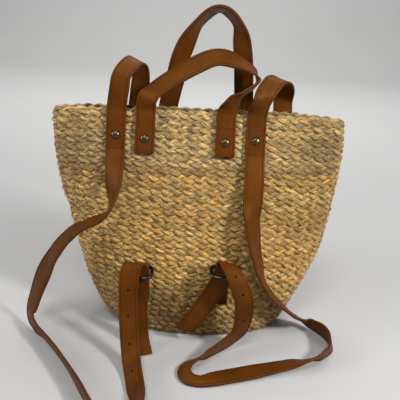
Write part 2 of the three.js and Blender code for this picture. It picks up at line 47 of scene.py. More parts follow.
# Sizes in millimetres, as in the part's source.
RIM_HEIGHT = 243.0
PLAIT_PITCH = 6.75
PLAIT_THICKNESS = 6.0
RIM_SAG = 4.0
FIT_GAP = 0.3
FLOOR_GAP = 0.15
STRAP_WIDTH = 20.0
STRAP_THICKNESS = 2.6
RIVET_HEIGHT = 218.0
TAB_END_HEIGHT = 204.0
TAB_TOP_HEIGHT = 231.0
TAB_RIM_HEIGHT = 242.0
HANDLE_TAB_DROP = 2.4
RIVET_CAP_RADIUS = 4.2
RIVET_CAP_RISE = 2.1
RIVET_BACK_RISE = 1.2
RIVET_POST_RADIUS = 1.6
RING_WIRE_RADIUS = 1.9
RING_INNER_WIDTH = 25.0
RING_REACH = 16.0
RING_CORNER = 2.6
RING_DROP_ANGLE = 0.36
RING_TAB_WIDTH = 15.0
RING_TAB_LEATHER = 2.0
RING_TAB_END = 48.0
RING_TAB_CHECKS = 4

# Height, half width, depth of the near wall, depth of the far wall, lean sideways, squareness.
SECTION_COLUMNS = ("z", "half_width", "near", "far", "shift_x", "square")
BASKET_SECTIONS = (
    (0, 92, 45, 46, 0, 2.2),
    (4, 98.5, 48.5, 50, 0, 2.2),
    (12, 104.5, 51.5, 53, -1, 2.2),
    (30, 114, 53, 55, -2, 2.2),
    (60, 126, 52.5, 55, -2, 2.2),
    (95, 137, 49.5, 52, -0.5, 2.25),
    (130, 144, 44, 46, -0.5, 2.3),
    (165, 149.5, 36, 38, -2.5, 2.4),
    (200, 152, 26, 27, -4, 2.6),
    (225, 152, 17.5, 18, -5, 3),
    (RIM_HEIGHT, 151, 11.5, 11.5, -5.4, 3.6),
)
# Angle round the bag in degrees, height, depth, spread of the angle, spread of the height.
DENTS = ((197, 105, 7, 9, 40), (350, 150, 3, 14, 30))

TAB_PLACES = {
    "left_shoulder": {NEAR: -88.0, FAR: -69.8},
    "left_handle": {NEAR: -58.5, FAR: -38.0},
    "right_handle": {NEAR: 22.5, FAR: 41.0},
    "right_shoulder": {NEAR: 53.0, FAR: 82.0},
}

# Routes of the leather: a place on the strip's middle line, the way its outer face looks there, and where
# they matter the wall it lies on, how far its edges lead and trail, and its width.
FRONT_HANDLE_ARCH = (
    (-57, -15, 255, 0, -1, 0.25),
    (-51.5, -9, 261.5, -0.3, -0.75, 0.6),
    (-11.5, -1, 287.5, -0.25, -0.82, 0.5),
    (13, 1, 296.5, 0, -0.72, 0.7),
    (45, -1, 286, 0.7, -0.3, 0.65),
    (50.5, -3, 279.5, 0.98, -0.1, 0.15),
    (51.5, -5.5, 274, 0.85, -0.1, -0.5),
    (37, -11.5, 263, 0.58, -0.34, -0.72),
    (28.8, -15, 254.5, 0.42, -0.82, -0.3),
)
BACK_HANDLE_ARCH = (
    (-31, 18, 274, -0.15, 1, 0.05),
    (-24.7, 18, 298.5, -0.35, 0.85, 0.15),
    (-8, 18, 328.5, -0.65, 0.4, 0.55),
    (11, 17, 341, 0, 0.3, 0.95),
    (28.5, 18, 329, 0.65, 0.4, 0.6),
    (36, 18, 302.5, 0.35, 0.85, 0.2),
    (40, 18.5, 262, 0.03, 1, 0.03),
)
LEFT_SHOULDER_LOOP = (
    (-69.5, 20, 252, 0.05, 1, 0),
    (-67, 14, 282, 0.5, 0.65, 0.55),
    (-71, 6, 289, 0.35, 0, 0.95),
    (-82.4, -11, 277, -0.2, -0.85, 0.45),
    (-84.6, -15, 264, -0.1, -1, 0.2),
)
LEFT_SHOULDER_RUN = (
    (-87, -38, 187, -0.3, -0.9, 0.3, NEAR),
    (-90, -58, 149.5, -0.9, -0.05, 0.4),
    (-113.5, -59.5, 135, -0.54, -0.12, 0.83),
    (-129.5, -56.5, 122.5, -0.68, -0.4, 0.6),
    (-147, -52.5, 100, -0.66, -0.58, 0.46),
    (-163, -47.5, 69.5, -0.48, -0.83, 0.28),
    (-176.5, -43, 35, -0.66, -0.7, 0.2),
    (-180.5, -46.5, 18, -0.75, -0.62, 0.15),
    (-174, -57.5, 12, -0.75, -0.62, -0.1),
    (-162, -70, 11, -0.7, -0.63, -0.34),
    (-146, -88, 10.8, -0.76, -0.57, -0.31),
    (-128, -110.5, 10.8, -0.75, -0.6, -0.28),
    (-100.5, -150, 10.8, -0.82, -0.56, -0.12),
    (-79.5, -181, 10.8, -0.55, -0.83, 0),
    (-64, -187.5, 10.8, 0.1, -0.99, 0),
    (-50, -181.5, 10.8, 0.85, -0.5, -0.08),
    (-45.5, -167, 9.8, 0.9, 0.05, -0.42),
    (-53.5, -135, 8.2, 0.6, 0.18, -0.78),
    (-62, -102.5, 15, 0.27, 0.72, -0.64),
    (-67, -83, 56, 0.08, 0.97, -0.22),
    (-66.5, -76, 90.5, 0.04, 0.95, -0.3),
    (-63.5, -69.5, 99, 0, 0, -1),
    (-60.2, -62, 90.5, 0, -1, -0.1),
    (-59.4, -63, 36, 0, -1, 0.06),
    (-57, -70.5, 9.5, -0.08, -0.88, 0.45),
    (-51.6, -87, 1.8, -0.03, -0.1, 1),
)
RIGHT_SHOULDER_LOOP = (
    (82.3, 19.5, 252, 0.05, 1, 0),
    (82, 11, 272, 0.6, 0.5, 0.6),
    (72.3, 3, 277, 0.35, -0.05, 0.95),
    (60.8, -11.5, 267, 0.2, -0.83, 0.5),
    (56.3, -16, 256.5, 0.4, -0.88, 0.2),
)
RIGHT_SHOULDER_RUN = (
    (53.3, -37, 184, 0, -1, 0.25, NEAR),
    (53, -46, 162, 0.12, -0.97, 0.2, NEAR),
    (53.4, -51.8, 144, 0.6, -0.75, 0.2),
    (62.2, -60, 102.5, 0.85, -0.43, 0.28),
    (74, -58, 71.5, 0.8, -0.05, 0.58),
    (99.8, -44, 38, 0.67, 0.22, 0.69),
    (119.5, -28, 16, 0.5, 0.4, 0.76),
    (133.5, -31, 11, 0.5, 0.76, 0.4),
    (145.5, -44, 10.6, 0.84, 0.48, 0.22),
    (149, -61, 10.6, 0.95, 0.05, 0.25),
    (138, -81.5, 9.5, 0.55, -0.75, -0.3),
    (121, -89.5, 7.6, 0.2, -0.6, -0.76),
    (100.5, -93.5, 4.4, 0.05, -0.28, -0.95),
    (56.5, -107.4, 2.8, 0, -0.05, -1),
    (23, -118.2, 2.6, 0, 0, -1, 0, 0, 18.6),
    (16, -120.8, 2.6, 0, 0.02, -1, 0, 0, 16),
    (9.8, -122.8, 2.8, 0, 0.06, -1, 0, 0, 13.6),
    (3.6, -122.8, 3.2, -0.03, 0.16, -0.98, 0, 0, 13.2),
    (-3, -120.4, 3.7, 0.14, 0.33, -0.93, 0, 0, 13.8),
    (-6.9, -114.8, 4.2, 0.35, 0.2, -0.91, 0, 0, 14.4),
    (-7.2, -108.6, 5, 0.47, 0.02, -0.88, 0, 0, 15),
    (-4.8, -103.4, 5.8, 0.48, -0.25, -0.84, 0, 0, 16),
    (-0.5, -99.7, 6.6, 0.44, -0.42, -0.8, 0, 0, 18),
    (6.5, -96, 8, 0.47, -0.58, -0.67, 0, 0, 20),
    (16, -90.2, 10, 0.56, -0.72, -0.4),
    (39, -74.5, 17, 0.55, -0.8, -0.2),
    (48.5, -71.5, 27, 0.42, -0.88, -0.17),
    (50, -77.5, 65, 0.1, -1, 0),
    (44, -78.5, 84, 0.38, -0.9, 0.2),
    (37.8, -77, 95.5, 0.55, -0.65, 0.5),
    (33, -73, 102.4, 0.45, -0.35, 0.82),
    (30.4, -66.4, 103.2, 0.22, 0.35, 0.9),
    (29.4, -61.8, 94.5, 0.02, 1, 0.1),
    (23.8, -61.8, 78, 0, 1, -0.03),
    (7, -62.5, 45, 0, 1, -0.03, 0, 1),
    (-1.5, -63.1, 31, 0, 1, -0.03, 0, 2.2),
    (-10, -63.5, 18.5, 0, 1, -0.03, 0, 3.6),
)
# Middle of each ring across the wall, middle of its loop, and height of the bar in the loop.
RING_PLACES = {"left": (-60.6, -56.9, 87.0), "right": (30.0, 26.8, 92.5)}


# Small helpers

def unit(v):
    return v / np.maximum(np.linalg.norm(v, axis=-1, keepdims=True), 1e-12)


def smooth(x):
    x = np.clip(x, 0, 1)
    return x * x * (3 - 2 * x)


def wander(rng, along, length):
    """A smooth random line with steps of the given length, read at places along it."""
    count = math.ceil(np.max(along) / length) + 3
    values = rng.normal(size=count)
    place = along / length
    low = np.floor(place).astype(int)
    s = smooth(place - low)
    return values[low] * (1 - s) + values[low + 1] * s


def round_angles(count):
    return np.arange(count) * 2 * math.pi / count


def circle(sides, a, b):
    """A circle of points between two ways, or one for each pair of them."""
    psi = round_angles(sides)[:, None]
    return a[..., None, :] * np.cos(psi) + b[..., None, :] * np.sin(psi)


def lengths(points):
    """How far along a line each of its points is."""
    return np.concatenate([[0], np.cumsum(np.linalg.norm(np.diff(points, axis=0), axis=1))])


def read_rows(place, along, rows):
    """Rows of numbers along a line, read at places between them."""
    return np.stack([np.interp(place, along, column) for column in rows.T], -1)


def loop_tangent(points):
    """The way along a closed line at each of its points."""
    return unit(np.roll(points, -1, 0) - np.roll(points, 1, 0))


# The basket's outline

SECTION = dict(zip(SECTION_COLUMNS, np.array(BASKET_SECTIONS, float).T))


def column_at(name, z):
    """A column of the sections, read at a height along a smooth curve through its values."""
    zs = SECTION["z"]
    values = SECTION[name]
    last = len(zs) - 1
    i = np.clip(np.searchsorted(zs, z, side="left") - 1, 0, last - 1)
    before = np.maximum(i - 1, 0)
    after = np.minimum(i + 2, last)
    slope_low = (values[i + 1] - values[before]) / (zs[i + 1] - zs[before])
    slope_high = (values[after] - values[i]) / (zs[after] - zs[i])
    span = zs[i + 1] - zs[i]
    s = np.clip((z - zs[i]) / span, 0, 1)
    rise = (values[i + 1] - values[i]) * s * s * (3 - 2 * s)
    bend = s * (1 - s) ** 2 * span * slope_low - s * s * (1 - s) * span * slope_high
    return values[i] + rise + bend


def wall_point(angle, z, inset):
    """Points at angles round the bag, at a height on the wall and so far inside its outer face."""
    degrees = np.degrees(angle) % 360
    for at, height, depth, wide, tall in DENTS:
        inset = inset + depth * np.exp(-((degrees - at) / wide) ** 2 - ((z - height) / tall) ** 2)
    c = np.cos(angle)
    s = np.sin(angle)
    power = 2 / column_at("square", z)
    deep = np.where(s < 0, column_at("near", z), column_at("far", z)) - inset
    wide = column_at("half_width", z) - inset
    x = column_at("shift_x", z) + np.sign(c) * wide * np.abs(c) ** power
    y = np.sign(s) * deep * np.abs(s) ** power
    return np.stack([x, y, z * (1 - RIM_SAG * c ** 4 / RIM_HEIGHT)], -1)


def wall_depth(x, z, side):
    """How far the wall's outer face is from the bag's middle plane."""
    z = min(max(z, 0.0), RIM_HEIGHT)
    square = column_at("square", z)
    across = min(abs(x - column_at("shift_x", z)) / column_at("half_width", z), 1.0)
    depth = column_at("near" if side < 0 else "far", z)
    return depth * (1 - across ** square) ** (1 / square)


# Meshes from arrays

# Numbers on a point: how many, what Blender calls them and their field.
ATTRIBUTE_KINDS = {1: ("FLOAT", "value"), 3: ("FLOAT_VECTOR", "vector"), 4: ("FLOAT_COLOR", "color")}


def add_object(name, data):
    made = bpy.data.objects.new(name, data)
    bpy.context.scene.collection.objects.link(made)
    return made


def faced_out(points, faces, caps):
    """A closed body's points, faces and caps, with the faces turned over if it is inside out."""
    fans = [faces[:, [0, k, k + 1]] for k in range(1, faces.shape[1] - 1)]
    fans += [np.stack([np.full(len(cap) - 2, cap[0]), cap[1:-1], cap[2:]], -1) for cap in caps]
    a, b, c = (points - points[0])[np.concatenate(fans)].transpose(1, 0, 2)
    if np.sum(a * np.cross(b, c)) < 0:
        return points, faces[:, ::-1], [cap[::-1] for cap in caps]
    return points, faces, caps


def mesh_piece(name, material, body, attributes=None):
    """A new piece from a body's points in millimetres, its faces and its many-cornered caps."""
    points, faces, caps = faced_out(*body)
    corners = faces.tolist() + [cap.tolist() for cap in caps]
    mesh = bpy.data.meshes.new(name)
    mesh.from_pydata((points * MM).tolist(), [], corners, shade_flat=False)
    for key, values in (attributes or {}).items():
        values = np.asarray(values, np.float32)
        kind, field = ATTRIBUTE_KINDS[values.size // len(points)]
        mesh.attributes.new(key, kind, "POINT").data.foreach_set(field, values.ravel())
    mesh.validate()
    mesh.materials.append(material)
    piece = add_object(name, mesh)
    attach(piece, "root")
    return piece


def tube(rings, closed=False):
    """Points, faces and end caps of a tube through rings of points."""
    count, around = np.shape(rings)[:2]
    r, i = np.meshgrid(np.arange(count if closed else count - 1), np.arange(around), indexing="ij")
    here, after = r * around, (r + 1) % count * around
    j = (i + 1) % around
    faces = np.stack([here + i, here + j, after + j, after + i], -1).reshape(-1, 4)
    first = np.arange(around)
    caps = () if closed else (first[::-1], (count - 1) * around + first)
    return np.reshape(rings, (-1, 3)), faces, caps


class Heap:
    """Points, faces, caps and attributes of many small bodies, gathered into one piece."""

    def __init__(self):
        self.points, self.faces, self.caps, self.count = [], [], [], 0
        self.attributes = {}

    def add(self, body, **attributes):
        points, faces, caps = faced_out(*body)
        self.points.append(points)
        self.faces.append(faces + self.count)
        self.caps += [cap + self.count for cap in caps]
        for key, values in attributes.items():
            self.attributes.setdefault(key, []).append(values)
        self.count += len(points)

    def piece(self, name, material, slot):
        body = np.concatenate(self.points), np.concatenate(self.faces), self.caps
        attributes = {key: np.concatenate(values) for key, values in self.attributes.items()}
        return mesh_piece(name, material, body, attributes)


# Materials

def wire(tree, sockets, inputs):
    """Links each input to another node's output, or sets it."""
    for key, value in inputs.items():
        if isinstance(value, bpy.types.NodeSocket):
            tree.links.new(value, sockets[key])
        else:
            sockets[key].default_value = value


def new_material(name):
    material = bpy.data.materials.new(name)
    material.use_nodes = True
    return material, material.node_tree, material.node_tree.nodes["Principled BSDF"].inputs


def node(tree, kind, inputs=None, **settings):
    made = tree.nodes.new(kind)
    for key, value in settings.items():
        setattr(made, key, value)
    wire(tree, made.inputs, inputs or {})
    return made


def mix_colour(tree, factor, a, b, blend="MIX"):
    inputs = {0: factor, 6: a, 7: b}
    return node(tree, "ShaderNodeMix", inputs, data_type="RGBA", blend_type=blend).outputs[2]


def ramp(tree, value, low, high, out_low=0.0, out_high=1.0):
    inputs = {0: value, 1: low, 2: high, 3: out_low, 4: out_high}
    return node(tree, "ShaderNodeMapRange", inputs).outputs[0]


def noise(tree, vector, scale, detail, roughness):
    inputs = {"Vector": vector, "Scale": scale, "Detail": detail, "Roughness": roughness}
    return node(tree, "ShaderNodeTexNoise", inputs).outputs["Fac"]


def bump(tree, height, strength, distance, **under):
    inputs = {"Height": height, "Strength": strength, "Distance": distance, **under}
    return node(tree, "ShaderNodeBump", inputs).outputs[0]


def attribute(tree, name, output="Fac"):
    return node(tree, "ShaderNodeAttribute", attribute_name=name).outputs[output]


def object_place(tree):
    return node(tree, "ShaderNodeTexCoord").outputs["Object"]


def jute_material():
    """The tint of each point, in streaks that follow the strand's fibres, with dark flecks."""
    material, tree, surface = new_material("jute_plait")
    tint = attribute(tree, "tint", "Color")
    inputs = {0: attribute(tree, "fibre", "Vector"), 1: FIBRE_STRETCH}
    stretched = node(tree, "ShaderNodeVectorMath", inputs, operation="MULTIPLY").outputs[0]
    streaks = noise(tree, stretched, 1.0, 4.0, 0.65)
    fine = noise(tree, stretched, 3.2, 2.0, 0.6)
    shade = ramp(tree, streaks, 0.36, 0.64, 0.35, 1.60)
    grey = node(tree, "ShaderNodeCombineColor", {0: shade, 1: shade, 2: shade}).outputs[0]
    lit = mix_colour(tree, 1.0, tint, grey, "MULTIPLY")
    flecks = ramp(tree, ramp(tree, fine, 0.42, 0.28), 0.0, 1.0, 0.0, 0.55)
    wire(tree, surface, {
        "Base Color": mix_colour(tree, flecks, lit, JUTE_FLECK),
        "Normal": bump(tree, fine, 0.35, 0.0003, Normal=bump(tree, streaks, 0.9, 0.0009)),
        "Roughness": ramp(tree, streaks, 0.3, 0.7, 0.82, 0.6),
        "Specular IOR Level": 0.35,
        "Sheen Weight": 0.12,
        "Sheen Roughness": 0.5,
    })
    return material


def leather_material():
    """Mottled brown, redder on the tabs and darker in the grooves, with pores and creases."""
    material, tree, surface = new_material("brown_leather")
    place = object_place(tree)
    broad = noise(tree, place, 34.0, 3.0, 0.5)
    mottle = noise(tree, place, 210.0, 4.0, 0.6)
    pores = node(tree, "ShaderNodeTexVoronoi", {"Vector": place, "Scale": 1250.0},
                 feature="DISTANCE_TO_EDGE").outputs["Distance"]
    creases = noise(tree, place, 620.0, 3.0, 0.6)
    colour = mix_colour(tree, ramp(tree, broad, 0.3, 0.7), LEATHER_DARK, LEATHER_LIGHT)
    for factor, tone in (
        (ramp(tree, mottle, 0.35, 0.75, 0.0, 0.35), LEATHER_MOTTLE),
        (ramp(tree, attribute(tree, "tab"), 0.0, 1.0, 0.0, 0.45), LEATHER_TAB),
        (attribute(tree, "edge"), LEATHER_EDGE),
        (ramp(tree, attribute(tree, "groove"), 0.0, 1.0, 0.0, 0.55), LEATHER_GROOVE),
    ):
        colour = mix_colour(tree, factor, colour, tone)
    grain = bump(tree, ramp(tree, pores, 0.0, 0.18), 0.16, 0.0002)
    wire(tree, surface, {
        "Base Color": colour,
        "Normal": bump(tree, creases, 0.18, 0.0003, Normal=grain),
        "Roughness": ramp(tree, mottle, 0.3, 0.7, 0.40, 0.56),
        "Specular IOR Level": 0.2,
        "Specular Tint": (1.0, 0.55, 0.22, 1),
    })
    return material


def speckled_material(name, scale, dark, light, settings, relief=0.0):
    """Two colours mixed by fine noise, which also stands up where there is relief."""
    material, tree, surface = new_material(name)
    speckle = noise(tree, object_place(tree), scale, 2.0, 0.5)
    wire(tree, surface, {"Base Color": mix_colour(tree, speckle, dark, light), **settings})
    if relief:
        wire(tree, surface, {"Normal": bump(tree, speckle, relief, 0.0002)})
    return material


def metal_material(name, dark, light, roughness):
    """Two tones of tarnish, the darker one duller, with fine scratches."""
    material, tree, surface = new_material(name)
    place = object_place(tree)
    tarnish = noise(tree, place, 520.0, 4.0, 0.6)
    scratches = noise(tree, place, 2400.0, 2.0, 0.5)
    wire(tree, surface, {
        "Base Color": mix_colour(tree, ramp(tree, tarnish, 0.35, 0.7), dark, light),
        "Roughness": ramp(tree, tarnish, 0.3, 0.7, roughness + 0.12, roughness),
        "Normal": bump(tree, scratches, 0.08, 0.0001),
        "Metallic": 1.0,
    })
    return material


# How far the jute's streaks are drawn out along the strand, across it and through it.
FIBRE_STRETCH = (0.22, 1.0, 1.0)
JUTE_FLECK = (0.10, 0.055, 0.02, 1)
LEATHER_DARK = (0.066, 0.019, 0.0017, 1)
LEATHER_LIGHT = (0.108, 0.0318, 0.0033, 1)
LEATHER_MOTTLE = (0.052, 0.0145, 0.0018, 1)
LEATHER_TAB = (0.086, 0.0205, 0.0045, 1)
LEATHER_EDGE = (0.07, 0.02, 0.004, 1)
LEATHER_GROOVE = (0.04, 0.011, 0.002, 1)

JUTE = jute_material()
LEATHER = leather_material()
THREAD = speckled_material(
    "brown_thread", 2600.0, (0.03, 0.008, 0.002, 1), (0.062, 0.018, 0.004, 1),
    {"Roughness": 0.8, "Specular IOR Level": 0.1, "Specular Tint": (1.0, 0.5, 0.2, 1)}, relief=0.4)
# The dark of the punched holes: painted shade on discs that lie over the leather.
HOLE_SHADE = speckled_material(
    "punched_hole_shade", 3000.0, (0.005, 0.002, 0.001, 1), (0.014, 0.005, 0.002, 1),
    {"Roughness": 0.95, "Specular IOR Level": 0.03})
BRASS = metal_material("antique_brass", (0.05, 0.039, 0.018, 1), (0.17, 0.137, 0.063, 1), 0.30)
GUNMETAL = metal_material("gunmetal", (0.025, 0.024, 0.024, 1), (0.075, 0.072, 0.07, 1), 0.2)

# The plait: three flat strands that cross over and under one another along each row

WALL_PERIODS = 18
# The lowest rows of the wall are shorter: each has one period fewer than the row above it.
SHORT_ROWS = 4
STRAND_PERIOD = 32.0
# How far a row leans: its lower edge stands out and laps over the row below, in radians.
ROW_LEAN = 0.24
# How far round its period a row may start from the one below, in radians.
ROW_START = 0.45
# Rows of the base: how far the first lies in from the edge, and how much they lap.
BASE_INSET = 1.5
BASE_LAP = 0.4
STRAND_SWING = 2.9
STRAND_LINGER = 0.02
STRAND_DIVE = 1.15
STRAND_TILT = 0.22
STRAND_HALF_WIDTH = 2.45
# How much narrower a strand is where it runs under the others, as a share of its width.
STRAND_PINCH = 0.06
STRAND_HALF_THICKNESS = 1.3
STRAND_QUICK = 0.12
STRAND_SQUARE = 2.1
STRAND_STEPS = 16
STRAND_AROUND = 8
# How fast the fibres turn round their strand, in radians for each millimetre.
STRAND_TWIST = 0.10
PATH_SAMPLES = 1440

# What varies along a row or strand: how much, and over what length in millimetres.
VARIED = {
    "lift": (0.35, 40), "phase": (0.18, 16), "swing": (0.1, 12), "dive": (0.15, 11), "width": (0.15, 9),
    "thickness": (0.08, 12), "light": (0.17, 10), "row_light": (0.08, 60), "warmth": (0.1, 16),
    "shade": (0.22, 6),
}
# All of it fades out over this length at the row's start and end, so that they meet.
VARIED_EASE = 30

# Loose fibres that stand off the plait: how many on a strand, their steps, sides and thickness.
FIBRES_PER_STRAND = 46
FIBRE_STEPS = 5
FIBRE_SIDES = 3
FIBRE_RADIUS = 0.15
FIBRE_TAPER = 0.75
FIBRE_LENGTHS = (3, 10)
FIBRE_TONES = (0.55, 1.6)
# How far fibres leave the strand's way sideways and outward, and bend sideways and back in.
FIBRE_LEAVE = (0.3, 0.28)
FIBRE_BEND = (0.35, 0.3)
# A fibre's foot is on a strand that lies this high in the row, and within this share of its half width.
FIBRE_FOOT_HEIGHT = 0.3
FIBRE_FOOT_SHARE = 0.8
# The noise in the jute starts anywhere in this many millimetres.
NOISE_SPAN = 900

CORE_THICKNESS = 1.6
CORE_AROUND = 240
CORE_LOW = 3.0
CORE_STEP = 4.0
CORE_RIM_GAP = 2.0
CORE_BASE_INSET = 12.0
# The core's colour is the jute's at this share: painted shade in the gaps between the strands.
CORE_SHADE = 0.5

# Colour of the jute by height, darker in the lowest rows as painted shade where the wall turns under, and
# with
# darker bands higher up: height in millimetres, red, green, blue.
JUTE_TONES_AND_SHADE = np.array((
    (0, 0.27, 0.155, 0.045), (20, 0.39, 0.23, 0.068),
    (45, 0.455, 0.275, 0.082), (85, 0.49, 0.297, 0.085),
    (118, 0.48, 0.292, 0.086), (140, 0.395, 0.235, 0.063),
    (150, 0.4, 0.247, 0.073), (168, 0.405, 0.254, 0.079),
    (176, 0.405, 0.232, 0.064), (182, 0.375, 0.226, 0.07),
    (188, 0.35, 0.222, 0.079), (194, 0.38, 0.257, 0.103),
    (206, 0.415, 0.282, 0.113), (230, 0.415, 0.28, 0.109),
    (243, 0.395, 0.265, 0.103),
))
# Dark marks of the near wall, and patches of painted shade: place across, height, spread of both, how dark.
# The streaks near 185 mm high, the two wide low patches between the straps and the three broad patches at
# the sides are painted shade and shadow; the rest are dark knots and marks in the jute.
MARKS_AND_PAINTED_SHADE = (
    (-1, 185.5, 17, 2.6, 0.5), (-42, 184.5, 8, 3, 0.4),
    (37, 188, 8, 4, 0.45), (68, 153, 3.4, 3.2, 0.88),
    (-100, 172, 3.2, 4, 0.8), (121, 217, 10, 3, 0.35),
    (99, 208.5, 8, 2.5, 0.3), (117, 204.5, 9, 3, 0.4),
    (120, 190, 14, 3, 0.35), (-40, 58, 12, 4, 0.4),
    (-22, 48, 20, 14, 0.25), (-34, 31, 26, 22, 0.68),
    (-26.5, 51, 5, 2.5, 0.6), (128, 212, 42, 30, 0.38),
    (-132, 205, 40, 42, 0.33), (128, 125, 48, 42, 0.26),
)
# How the red, green and blue of the jute fade in a mark or in painted shade, and how they shift where it is
# warmer.
MARK_AND_SHADE_FADE = (1.0, 1.15, 1.45)
WARM_SHIFT = np.array((0.3, -0.2, -1.2))
# Shade of a strand: in its middle depth, what is gained away from it, where that starts and over what
# depth, and what its two edges lose.
DEPTH_SHADE = (0.82, 0.12, 0.2, 1.6)
EDGE_SHADE = 0.22
# What light and shade may multiply a colour by, and the colours that a surface may have.
LIGHT_RANGE = (0.5, 1.5)
TINT_RANGE = (0.01, 0.95)


def tone_and_shade_at(z):
    return read_rows(z, JUTE_TONES_AND_SHADE[:, 0], JUTE_TONES_AND_SHADE[:, 1:])


def tints(colour):
    """Colours kept in range, with their fourth number."""
    return np.concatenate([np.clip(colour, *TINT_RANGE), np.ones((*colour.shape[:-1], 1))], -1)


def loose_fibres(heap, rng, foot, tangent, across, face, colour):
    """Thin curved hairs that leave the strand at each foot and follow it for a little way."""
    count = len(foot)
    each = (count, 1)
    length = rng.uniform(*FIBRE_LENGTHS, each)[..., None]
    way = tangent * rng.choice([-1.0, 1.0], each) + across * rng.normal(0, FIBRE_LEAVE[0], each)
    way = unit(way + face * rng.uniform(0, FIBRE_LEAVE[1], each))
    bend = across * rng.normal(0, FIBRE_BEND[0], each) - face * rng.uniform(0, FIBRE_BEND[1], each)
    share = np.linspace(0, 1, FIBRE_STEPS)[:, None]
    path = foot[:, None] + way[:, None] * share * length + bend[:, None] * share ** 2 * length
    side = unit(np.cross(way, face))
    up = np.cross(side, way)
    radius = FIBRE_RADIUS * (1 - FIBRE_TAPER * share)[..., None]
    points = path[:, :, None] + radius * circle(FIBRE_SIDES, side, up)[:, None]
    points[..., 2] += np.maximum(0, FLOOR_GAP - points[..., 2].min((1, 2)))[:, None, None]
    _, quads, caps = tube(points[0])
    faces = np.concatenate([quads[:, [0, 1, 2]], quads[:, [0, 2, 3]], caps])
    size = FIBRE_STEPS * FIBRE_SIDES
    faces = faces[None] + (np.arange(count) * size)[:, None, None]
    tint = np.repeat(tints(colour * rng.uniform(*FIBRE_TONES, each)), size, 0)
    fibre = np.repeat(rng.uniform(0, NOISE_SPAN, (count, 3)), size, 0)
    heap.add((points.reshape(-1, 3), faces.reshape(-1, 3), ()), tint=tint, fibre=fibre)


def plait_row(heap, loose, rng, points, outward, upward, periods=None, start=0.0, lean=0.0):
    """A closed row, from points along its middle and the ways out of and up the wall there."""
    along = lengths(np.concatenate([points, points[:1]]))
    length = along[-1]
    periods = periods or max(3, round(length / STRAND_PERIOD))
    count = periods * STRAND_STEPS
    place = np.arange(count)[:, None] * length / count
    ease = smooth(np.minimum(place, length - place) / VARIED_EASE)

    def read(values):
        return read_rows(place[:, 0], along, np.concatenate([values, values[:1]]))

    def varied(kind):
        amount, over = VARIED[kind]
        return amount * wander(rng, place, over) * ease

    middle = read(points)
    wall_out = unit(read(outward))
    wall_up = unit(read(upward))
    out = wall_out * math.cos(lean) + wall_up * math.sin(lean)
    up = wall_up * math.cos(lean) - wall_out * math.sin(lean)
    turn = 2 * math.pi * place / length * periods + start
    lift = varied("lift")
    psi = round_angles(STRAND_AROUND)
    flat_cos, flat_sin = (np.sign(v) * np.abs(v) ** (2 / STRAND_SQUARE) for v in (np.cos(psi), np.sin(psi)))
    for strand in range(3):
        base = turn + strand * 2 * math.pi / 3 + varied("phase")
        phase = base - STRAND_QUICK * np.cos(2 * base)
        wave = (np.sin(phase) + STRAND_LINGER * np.sin(3 * phase)) / (1 - STRAND_LINGER)
        swing = STRAND_SWING * wave * (1 + varied("swing"))
        dive = STRAND_DIVE * np.sin(2 * phase) + varied("dive")
        centre = middle + up * (swing + lift) + out * dive
        tangent = loop_tangent(centre)
        face = unit(out + up * (STRAND_TILT * swing / STRAND_SWING))
        face = unit(face - tangent * np.sum(face * tangent, 1, keepdims=True))
        across = np.cross(tangent, face)
        wide = STRAND_HALF_WIDTH * (1 + varied("width"))
        wide = wide * (1 - STRAND_PINCH + STRAND_PINCH * np.sin(2 * phase))
        thick = STRAND_HALF_THICKNESS * (1 + varied("thickness"))
        ring = (centre[:, None] + across[:, None] * (wide * flat_cos)[..., None]
                + face[:, None] * (thick * flat_sin)[..., None])
        ring[..., 2] = np.maximum(ring[..., 2], FLOOR_GAP)
        twist = place * STRAND_TWIST + psi
        fibre = np.stack(np.broadcast_arrays(place + rng.uniform(0, NOISE_SPAN), wide * np.cos(twist),
                                             wide * np.sin(twist)), -1)
        light = 1 + varied("light") + varied("row_light")
        warm = varied("warmth")
        # Dark marks of the jute, and painted shade and shadow, on the near wall only.
        marked_and_shaded = 1.0
        for x, z, wide_x, tall_z, dark in MARKS_AND_PAINTED_SHADE:
            spot = np.exp(-((centre[:, :1] - x) / wide_x) ** 2 - ((centre[:, 2:] - z) / tall_z) ** 2)
            marked_and_shaded = marked_and_shaded * (1 - dark * spot * (centre[:, 1:2] < 0))
        colour = tone_and_shade_at(centre[:, 2]) * np.clip(light, *LIGHT_RANGE) * marked_and_shaded ** MARK_AND_SHADE_FADE
        colour = colour * (1 + WARM_SHIFT * warm)
        low, gain, gain_from, gain_over = DEPTH_SHADE
        depth = np.abs(dive + thick * np.sin(psi))
        shade = low + gain * smooth((depth - gain_from) / gain_over)
        shade = shade * (1 - EDGE_SHADE * np.cos(psi) ** 4)
        for k in range(STRAND_AROUND):
            shade[:, [k]] *= np.clip(1 + varied("shade"), *LIGHT_RANGE)
        heap.add(tube(ring, closed=True), fibre=fibre.reshape(-1, 3),
                 tint=tints(colour[:, None] * shade[..., None]).reshape(-1, 4))
        chosen = rng.choice(np.flatnonzero(dive > FIBRE_FOOT_HEIGHT), FIBRES_PER_STRAND)
        edge = rng.uniform(-FIBRE_FOOT_SHARE, FIBRE_FOOT_SHARE, (FIBRES_PER_STRAND, 1)) * wide[chosen]
        foot = centre[chosen] + across[chosen] * edge + face[chosen] * (FIBRE_FOOT_SHARE * thick[chosen])
        loose_fibres(loose, rng, foot, tangent[chosen], across[chosen], face[chosen], colour[chosen])


# The wall's upward way is read over this much height on either side.
UPWARD_REACH = 2
# Rows start in the middle of the far wall.
ROW_ANGLES = (np.arange(PATH_SAMPLES) / PATH_SAMPLES * 2 + 0.5) * math.pi


